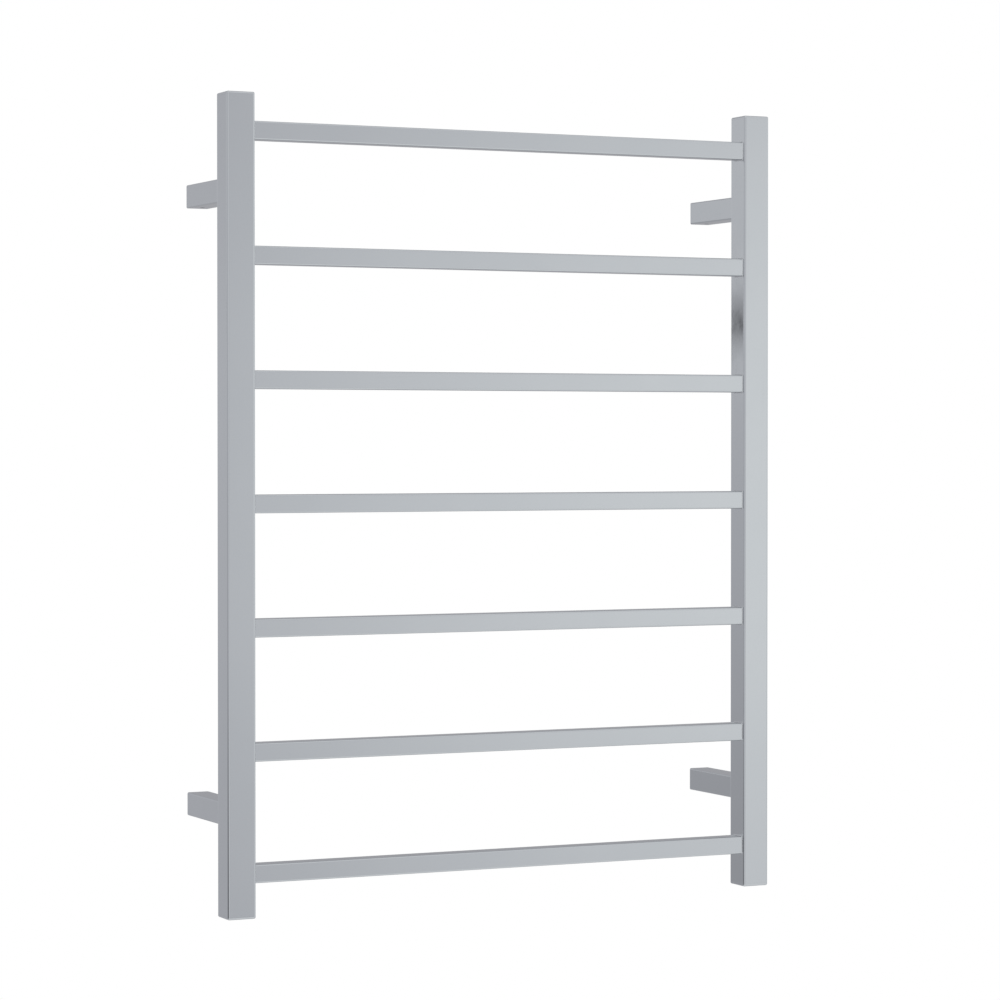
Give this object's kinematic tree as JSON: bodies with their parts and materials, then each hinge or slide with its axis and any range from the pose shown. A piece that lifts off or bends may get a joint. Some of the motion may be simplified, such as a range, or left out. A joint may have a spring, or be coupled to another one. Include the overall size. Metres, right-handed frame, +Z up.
{
  "type": "towel warmer rack",
  "caption": "Wall-hung electric ladder towel warmer with square polished uprights, slim square rungs set just behind their fronts and square stand-off wall posts.",
  "frame": {"origin": "centre of the four wall fixings, in the plane of the wall", "axes": "+Z up, -Y out of the wall towards the user, +X to the user's right"},
  "size_m": [0.6, 0.122, 0.8],
  "materials": {
    "polished_tube": "polished stainless steel tube",
    "polished_cap": "polished stainless steel cap",
    "polished_post": "polished stainless steel post",
    "boss_alloy": "turned alloy",
    "grub_steel": "stainless set screw",
    "plated_steel": "zinc-plated",
    "cable_jacket": "silicone jacket",
    "splice_sleeve": "heat-shrink sleeve",
    "cutout_case": "moulded case",
    "lug_brass": "stamped ring terminal",
    "grommet_rubber": "matt"
  },
  "bodies": {
    "root": {"left_upright": "polished_tube", "right_upright": "polished_tube", "rung_1": "polished_tube", "rung_2": "polished_tube", "rung_3": "polished_tube", "rung_4": "polished_tube", "rung_5": "polished_tube", "rung_6": "polished_tube", "rung_7": "polished_tube", "left_top_cap": "polished_cap", "right_top_cap": "polished_cap", "left_bottom_cap": "polished_cap", "right_bottom_cap": "polished_cap", "upper_left_post": "polished_post", "upper_right_post": "polished_post", "lower_left_post": "polished_post", "lower_right_post": "polished_post", "upper_left_wall_boss": "boss_alloy", "upper_right_wall_boss": "boss_alloy", "lower_left_wall_boss": "boss_alloy", "lower_right_wall_boss": "boss_alloy", "upper_left_grub_screw": "grub_steel", "upper_right_grub_screw": "grub_steel", "lower_left_grub_screw": "grub_steel", "lower_right_grub_screw": "grub_steel", "upper_left_post_bolt": "plated_steel", "upper_right_post_bolt": "plated_steel", "lower_left_post_bolt": "plated_steel", "lower_right_post_bolt": "plated_steel", "upper_left_nut_plate": "plated_steel", "upper_right_nut_plate": "plated_steel", "lower_left_nut_plate": "plated_steel", "lower_right_nut_plate": "plated_steel", "earth_stud": "plated_steel", "earth_nut": "plated_steel", "heating_cable": "cable_jacket", "cable_end_seal": "splice_sleeve", "cable_splice": "splice_sleeve", "supply_splice": "splice_sleeve", "thermal_cutout": "cutout_case", "earth_lug": "lug_brass", "cable_grommet": "grommet_rubber"}
  },
  "joints": []
}
